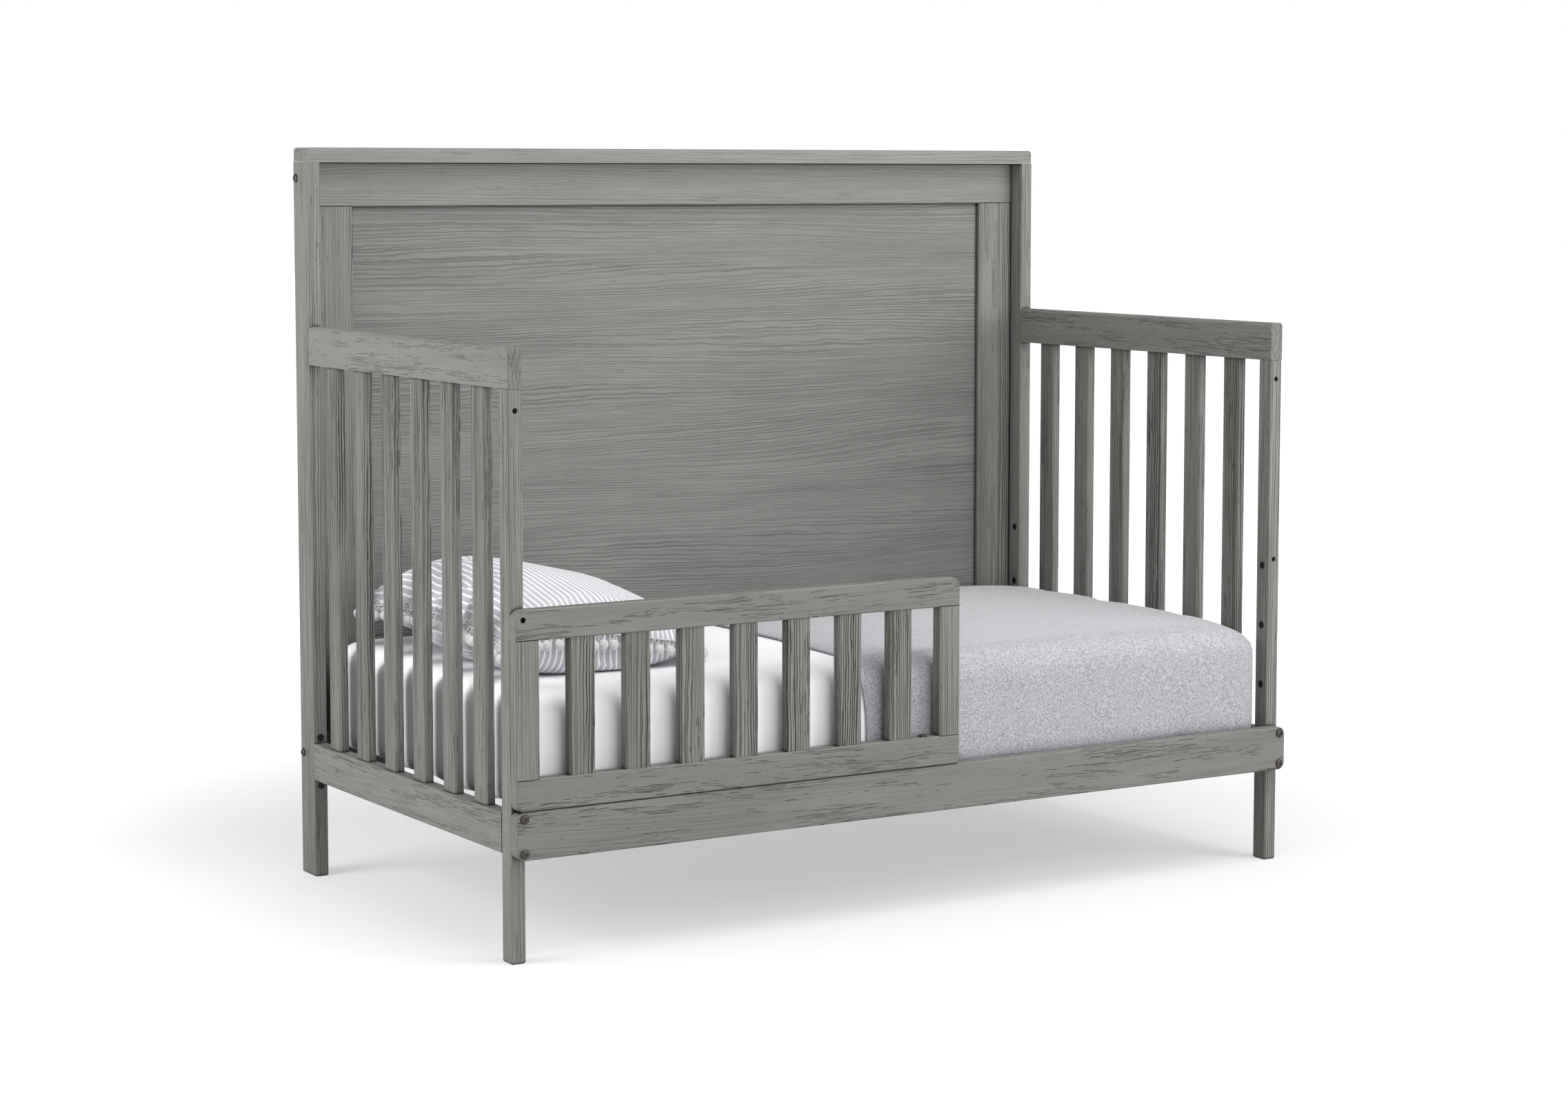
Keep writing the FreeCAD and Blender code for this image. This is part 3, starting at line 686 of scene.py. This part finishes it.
def copies_on(tree, source, result, points, turns, **sizes):
    """The last steps of a geometry tree: copies of its Piece on points, as mesh in its Finish."""
    shape = put(tree, "GeometryNodeObjectInfo", {"Object": source["Piece"]}).outputs["Geometry"]
    copies = put(tree, "GeometryNodeInstanceOnPoints", {"Points": points, "Instance": shape,
                                                        "Rotation": turns, **sizes})
    solid = put(tree, "GeometryNodeRealizeInstances", {0: copies.outputs[0]})
    done = put(tree, "GeometryNodeSetMaterial", {"Geometry": solid.outputs[0], "Material": source["Finish"]})
    tree.links.new(done.outputs[0], result["Geometry"])


def strung_along(name, pivot):
    """Copies of a piece along a line, each turned to follow it."""
    tree, source, result = geometry_tree(name, {
        "Piece": ("Object", None), "Pitch": ("Float", 0.018), "Size Spread": ("Float", 0.0),
        "Tilt": ("Float", 0.0), "Seed": ("Int", 3), "Finish": ("Material", None)})
    line = put(tree, "GeometryNodeMeshToCurve", {"Mesh": source["Geometry"]})
    spaced = put(tree, "GeometryNodeResampleCurve", {"Curve": line.outputs[0], "Length": source["Pitch"]},
                 mode="LENGTH")
    tangent = tree.nodes.new("GeometryNodeInputTangent").outputs[0]
    turn = put(tree, "FunctionNodeAlignRotationToVector", {"Vector": tangent}, axis="X", pivot_axis=pivot)
    low = sums(tree, "SUBTRACT", 1.0, source["Size Spread"])
    high = sums(tree, "ADD", 1.0, source["Size Spread"])
    size = put(tree, "FunctionNodeRandomValue", {2: low, 3: high, "Seed": source["Seed"]}, data_type="FLOAT")
    lean = put(tree, "FunctionNodeRandomValue", {2: sums(tree, "MULTIPLY", source["Tilt"], -1.0),
                                                 3: source["Tilt"], "Seed": source["Seed"]},
               data_type="FLOAT").outputs[1]
    tilt = put(tree, "ShaderNodeCombineXYZ", {1: lean, 0: sums(tree, "MULTIPLY", lean, 0.7)})
    turned = put(tree, "FunctionNodeRotateRotation", {"Rotation": turn.outputs[0],
                                                      "Rotate By": tilt.outputs[0]}, rotation_space="LOCAL")
    copies_on(tree, source, result, spaced.outputs[0], turned.outputs[0], Scale=size.outputs[1])
    return tree


def set_on_points():
    """Copies of a piece on loose points, each facing along the point's "aim"."""
    tree, source, result = geometry_tree("SetOnPoints", {"Piece": ("Object", None),
                                                         "Finish": ("Material", None)})
    aim = put(tree, "GeometryNodeInputNamedAttribute", {"Name": "aim"}, data_type="FLOAT_VECTOR")
    turn = put(tree, "FunctionNodeAlignRotationToVector", {"Vector": aim.outputs[0]}, axis="Z")
    copies_on(tree, source, result, source["Geometry"], turn.outputs[0])
    return tree


def grow(piece, tree, **values):
    """Run a geometry tree on a piece and keep the result as plain mesh."""
    step = piece.modifiers.new("Copies", "NODES")
    step.node_group = tree
    for item in tree.interface.items_tree:
        key = item.name.replace(" ", "_")
        if item.in_out == "INPUT" and key in values:
            step[item.identifier] = values[key]
    settle(piece)
    master = values["Piece"]
    mesh = master.data
    bpy.data.objects.remove(master)
    bpy.data.meshes.remove(mesh)
    return piece


def line_piece(name, spots, closed, material):
    """A bare line of edges to string copies on."""
    edges = [(i, i + 1) for i in range(len(spots) - 1)] + [(len(spots) - 1, 0)] * closed
    return make_piece(name, spots, [], material, edges)


def tube(name, spots, radius, closed, material, sides=2):
    """A round cord along the given points, as mesh."""
    curve = bpy.data.curves.new(name, "CURVE")
    curve.dimensions = "3D"
    curve.bevel_depth, curve.bevel_resolution, curve.use_fill_caps = radius, sides, not closed
    run = curve.splines.new("POLY")
    run.points.add(len(spots) - 1)
    run.points.foreach_set("co", np.hstack([np.asarray(spots), np.ones((len(spots), 1))]).ravel())
    run.use_cyclic_u = closed
    holder = placed(name, curve)
    mesh = bpy.data.meshes.new_from_object(holder.evaluated_get(bpy.context.evaluated_depsgraph_get()))
    bpy.data.objects.remove(holder)
    bpy.data.curves.remove(curve)
    mesh.name = name
    mesh.materials.clear()
    mesh.materials.append(material)
    mesh.polygons.foreach_set("use_smooth", [True] * len(mesh.polygons))
    return placed(name, mesh)


# ------------------------------------------------------------------ fasteners
def turned_shape(name, rings):
    """Solid of revolution about Z from (radius, height, flats of that ring) rows, closed at both ends."""
    sides = 24
    bm = bmesh.new()
    rows = []
    for radius, height, flats in rings:
        row = []
        for k in range(sides):
            angle = 2 * math.pi * k / sides
            reach = radius
            if flats:
                part = math.pi / flats
                reach = radius * math.cos(part) / math.cos((angle % (2 * part)) - part)
            row.append(bm.verts.new((reach * math.cos(angle), reach * math.sin(angle), height)))
        rows.append(row)
    for below, above in zip(rows, rows[1:]):
        for k in range(sides):
            bm.faces.new((below[k], below[(k + 1) % sides], above[(k + 1) % sides], above[k]))
    bm.faces.new(rows[0][::-1])
    bm.faces.new(rows[-1])
    bmesh.ops.recalc_face_normals(bm, faces=bm.faces[:])
    return piece_from(bm, name)


def fasteners(name, shape, spots, material):
    """Copies of one small part at (place, facing) spots, all on the frame."""
    piece = make_piece(name, [place for place, aim in spots], [], material)
    facing = piece.data.attributes.new("aim", "FLOAT_VECTOR", "POINT")
    facing.data.foreach_set("vector", np.array([aim for place, aim in spots], float).ravel())
    grow(piece, SET_ON_POINTS, Piece=shape, Finish=material)
    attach(piece, "bed_frame")
    return piece


SET_ON_POINTS = set_on_points()
HEAD_RADIUS, HEAD_PROUD = 0.0065, 0.0001
INSERT_PITCH = 0.096
INSERT_PAST_RAIL = 0.009
# low domed button head with a hexagon socket, set on the CAD head's cone
button = [(0.0062, -0.0003, 0), (0.0066, 0.0004, 0), (0.0064, 0.0012, 0), (0.0057, 0.0021, 0),
          (0.0046, 0.0028, 0), (0.0036, 0.0031, 0), (0.0029, 0.0031, 6), (0.0027, 0.0029, 6),
          (0.0026, 0.0010, 6)]
# flanged insert with an open bore
collar = [(0.0056, -0.0002, 0), (0.0056, 0.0005, 0), (0.0052, 0.0008, 0), (0.0036, 0.0008, 0),
          (0.0031, 0.0004, 0), (0.0029, -0.0006, 0), (0.0029, -0.0120, 0)]


def make_fasteners():
    head, proud = HEAD_RADIUS, HEAD_PROUD
    post_low, post_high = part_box("headboard_post_right")
    post_x = (post_low.x + post_high.x) / 2
    low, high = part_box("front_rail_bolts")
    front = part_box("front_rail")[0].y
    rows = [((s * (high.x - head), front - proud, z), (0, -1, 0))
            for s in (-1, 1) for z in (low.z + head, high.z - head)]
    low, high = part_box("headboard_bolts")
    rows += [((s * (post_high.x + proud), (low.y + high.y) / 2, z), (s, 0, 0))
             for s in (-1, 1) for z in (low.z + head, high.z - head)]
    # the end panels' bolts, seen from behind, and the guard's upright bolt
    rails = [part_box("end_right_top_rail"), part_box("end_right_bottom_rail")]
    rows += [((s * post_x, post_high.y + proud, (rail[0].z + rail[1].z) / 2), (0, 1, 0))
             for s in (-1, 1) for rail in rails]
    low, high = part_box("guard_bottom_rail")
    rows.append(((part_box("guard_bolts")[1].x - head, (low.y + high.y) / 2, high.z + proud), (0, 0, 1)))
    fasteners("bolt_heads", turned_shape("BoltHead", button), rows, zinc)

    low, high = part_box("support_bolts")
    lowest = (low.z + high.z) / 2
    rows = [((s * post_low.x, y, lowest + level * INSERT_PITCH), (-s, 0, 0))
            for s in (-1, 1) for y in (low.y + head, high.y - head) for level in (1, 2, 3)]
    rows += [((s * post_x, post_low.y, z), (0, -1, 0)) for s in (-1, 1)
             for z in (rails[1][0].z - INSERT_PAST_RAIL, rails[1][1].z + INSERT_PAST_RAIL)]
    fasteners("threaded_inserts", turned_shape("Insert", collar), rows, dark_zinc)


# ------------------------------------------------------------------ trims of the bedding
def open_edge(piece, edge):
    """The cut edge of a cloth as ordered points."""
    bm = bmesh.new()
    bm.from_mesh(piece.data)
    rim = [e for e in bm.edges if e.is_boundary and all(abs(v.co.x - edge(v.co)) < 2e-4 for v in e.verts)]
    links = {}
    for e in rim:
        a, b = e.verts
        links.setdefault(a.index, []).append(b.index)
        links.setdefault(b.index, []).append(a.index)
    here = min(i for i, near in links.items() if len(near) == 1)
    path, last = [here], None
    while True:
        onward = [i for i in links[path[-1]] if i != last]
        if not onward:
            break
        last = path[-1]
        path.append(onward[0])
    bm.verts.ensure_lookup_table()
    spots = np.array([bm.verts[i].co for i in path])
    normals = np.array([bm.verts[i].normal for i in path])
    bm.free()
    return spots, normals


def onto(piece, spots, lift):
    """Each spot moved to the piece's outside, lifted clear by a little."""
    tree = BVHTree.FromObject(piece, bpy.context.evaluated_depsgraph_get())
    moved = []
    for spot in spots:
        place, normal, _, _ = tree.find_nearest(Vector(spot))
        moved.append(place + normal * lift)
    return np.array(moved)


def stitch():
    """One short stitch, lying along X."""
    length, radius = 0.0030, 0.00045
    bm = bmesh.new()
    bmesh.ops.create_icosphere(bm, subdivisions=1, radius=1.0)
    for vertex in bm.verts:
        vertex.co = Vector((vertex.co.x * length / 2, vertex.co.y * radius, vertex.co.z * radius))
    return piece_from(bm, "Stitch")


POM_RADIUS, POM_DROP, POM_PITCH = 0.0080, 0.0160, 0.0172
TAPE_PITCH = 0.0048


def pompom():
    """A ball of cut yarn, slightly ragged, hung below the seam."""
    bm = bmesh.new()
    bmesh.ops.create_icosphere(bm, subdivisions=3, radius=POM_RADIUS)
    for vertex in bm.verts:
        rough = turbulence.noise(vertex.co * 420) * 0.5 + turbulence.noise(vertex.co * 1100) * 0.5
        vertex.co *= 1 + 0.10 * rough
        vertex.co += Vector((0, -0.0045, -POM_DROP))
    for face in bm.faces:
        face.smooth = True
    return piece_from(bm, "PomPom")


def hanging_loop():
    """Two threads in a V that hold a pom-pom to the seam."""
    side = [(0.0040, 0, 0), (0.0032, -0.0022, -0.0028), (0.0014, -0.0042, -0.0075),
            (0.0004, -0.0046, -0.0105)]
    spots = [(-x, y, z) for x, y, z in side] + side[::-1]
    return tube("HangingLoop", spots, 0.0009, False, white_trim, sides=0)


def smooth_ring(spots, rounds):
    for _ in range(rounds):
        spots = (np.roll(spots, 1, 0) + 2 * spots + np.roll(spots, -1, 0)) / 4
    return spots


def make_trim(pillow, rim):
    """Piping round the pillow's seam, pom-poms on threads below it and a zigzag tape on the short side."""
    seam = smooth_ring(points_of(pillow.data)[rim], 1)
    ahead = np.roll(seam, -1, 0) - np.roll(seam, 1, 0)
    outward = np.stack([ahead[:, 1], -ahead[:, 0], np.zeros(len(seam))], 1)
    outward /= np.linalg.norm(outward, axis=1)[:, None]
    line = seam + outward * 0.0010
    pieces = [tube("pillow_piping", line, 0.0014, True, white_trim)]
    string = strung_along("StrungAlong", "Z")
    # the line is walked so that outward is each copy's -Y
    poms = line_piece("pillow_pompoms", line + outward * 0.0008, True, white_trim)
    pieces.append(grow(poms, string, Piece=pompom(), Pitch=POM_PITCH, Size_Spread=0.05, Tilt=0.16, Seed=4,
                       Finish=white_trim))
    loops = line_piece("pillow_pompom_threads", line + outward * 0.0008, True, white_trim)
    pieces.append(grow(loops, string, Piece=hanging_loop(), Pitch=POM_PITCH, Size_Spread=0.0, Tilt=0.0,
                       Seed=4, Finish=white_trim))
    # header tape, flipped up onto the pillow along its left side and ending short of the corners
    short = 0.012
    left = line[(np.abs(line[:, 0] - line[:, 0].min()) < 0.035) & (line[:, 1] > seam[:, 1].min() + short) &
                (line[:, 1] < seam[:, 1].max() - short)]
    left = left[np.argsort(left[:, 1])]
    run = np.r_[0, np.cumsum(np.linalg.norm(np.diff(left, axis=0), axis=1))]
    tape = []
    for k in range(int(run[-1] / TAPE_PITCH)):
        x, y, z = (np.interp(k * TAPE_PITCH, run, left[:, axis]) for axis in range(3))
        tape.append((x + 0.0065, y, z + 0.008) if k % 2 else (x + 0.0015, y, z + 0.002))
    tape = onto(pillow, tape, 0.0009)
    pieces.append(tube("pillow_tape_zigzag", tape, 0.0008, False, white_trim, sides=0))
    pieces.append(tube("pillow_tape_cord", tape[1::2], 0.0009, False, white_trim, sides=0))
    return pieces


# ------------------------------------------------------------------ bedding put together
mattress = make_mattress()
sheet = mattress_cloth("fitted_sheet_cloth", white_cotton, SHEET_GAP)
thicken(sheet, SHEET_THICK)
blanket = mattress_cloth("blanket_cloth", grey_fleece, SHEET_GAP + SHEET_THICK + BLANKET_GAP, blanket_edge)
hem, hem_out = open_edge(blanket, blanket_edge)
thicken(blanket, BLANKET_THICK)
roll = tube("blanket_hem_roll", hem + hem_out * BLANKET_THICK * 0.5, BLANKET_THICK * 0.62, False, grey_fleece)
stitch_line = onto(blanket, hem + (0.013, 0, 0) + hem_out * BLANKET_THICK * 1.2, 0.0002)
stitches = line_piece("blanket_hem_stitches", stitch_line, False, grey_fleece)
grow(stitches, strung_along("StitchedAlong", "AUTO"), Piece=stitch(), Pitch=0.0044, Size_Spread=0.0, Tilt=0.0,
     Seed=1, Finish=grey_fleece)
pillow, seam_points = pillow_case()
rest_pillow(pillow)
trims = make_trim(pillow, seam_points)

for piece, body, slot in ([(mattress, "mattress", "mattress_cover"), (sheet, "mattress", "white_cotton"),
                           (blanket, "mattress", "grey_fleece"), (roll, "mattress", "grey_fleece"),
                           (stitches, "mattress", "grey_fleece"), (pillow, "pillow", "striped_cotton")] +
                          [(trim, "pillow", "white_trim") for trim in trims]):
    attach(piece, body)
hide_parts("mattress")
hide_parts("fitted_sheet")
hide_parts("blanket")
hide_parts("pillow")
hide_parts("pillow_trim")
make_fasteners()


# ------------------------------------------------------------------ studio
def studio():
    mesh = bpy.data.meshes.new("Floor")
    reach = 30
    mesh.from_pydata([(-reach, -reach, 0), (reach, -reach, 0), (reach, reach, 0), (-reach, reach, 0)],
                     [], [(0, 1, 2, 3)])
    floor = placed("Floor", mesh)
    material, tree, shader = new_material("PaleFloor", Roughness=0.9, Specular_IOR_Level=0.0)
    shader.inputs["Base Color"].default_value = (0.45, 0.45, 0.45, 1)
    path = tree.nodes.new("ShaderNodeLightPath").outputs
    seen = sums(tree, "MAXIMUM", path["Is Camera Ray"],
                sums(tree, "MAXIMUM", path["Is Glossy Ray"], path["Is Transmission Ray"]))
    shader.inputs["Emission Color"].default_value = (1, 1, 1, 1)
    # the sweep of the studio floor turns to plain white away from the bed
    spot = tree.nodes.new("ShaderNodeTexCoord").outputs["Object"]
    away = put(tree, "ShaderNodeVectorMath", {0: spot}, operation="LENGTH").outputs["Value"]
    glow = remap(tree, away, 0.8, 2.1, 0.45, 0.95)
    tree.links.new(sums(tree, "MULTIPLY", seen, glow), shader.inputs["Emission Strength"])
    mesh.materials.append(material)

    world = bpy.data.worlds.new("Studio")
    world.use_nodes = True
    scene.world = world
    tree = world.node_tree
    back = tree.nodes["Background"]
    path = tree.nodes.new("ShaderNodeLightPath").outputs
    seen = sums(tree, "MAXIMUM", path["Is Camera Ray"], path["Is Transmission Ray"])
    back.inputs["Color"].default_value = (1, 1, 1, 1)
    tree.links.new(remap(tree, seen, 0, 1, 0.42, 1.0, False), back.inputs["Strength"])

    def softbox(name, place, target, size, power):
        lamp = bpy.data.lights.new(name, "AREA")
        lamp.shape, lamp.size, lamp.size_y = "RECTANGLE", size[0], size[1]
        lamp.energy = power
        holder = placed(name, lamp)
        holder.location = place
        holder.rotation_euler = (Vector(target) - Vector(place)).to_track_quat("-Z", "Y").to_euler()

    softbox("TopSoftbox", (0.3, -1.3, 3.0), (0.2, 0, 0.5), (2.4, 2.0), 60)
    softbox("SideSoftbox", (-2.4, 0.2, 1.2), (-0.6, 0, 0.5), (1.3, 1.3), 36)
    softbox("FrontSoftbox", (1.9, -2.5, 1.6), (0.6, 0, 0.5), (1.8, 1.4), 46)
    softbox("LowSoftbox", (-0.3, -4.3, 0.8), (0, 0, 0.3), (3.4, 1.1), 50)
    softbox("BackSoftbox", (0.6, 4.2, 1.7), (0, 0.3, 0.6), (2.4, 1.6), 26)


def camera():
    eye = bpy.data.cameras.new("Camera")
    eye.sensor_width = 36
    eye.lens = 75.1
    eye.shift_y = -0.05
    eye.clip_end = 100
    holder = placed("Camera", eye)
    holder.location = (-2.7093, -4.371, 1.0954)
    holder.rotation_euler = (math.pi / 2 - 0.093, 0, -0.551)
    scene.camera = holder


studio()
camera()
scene.view_settings.view_transform = "Standard"
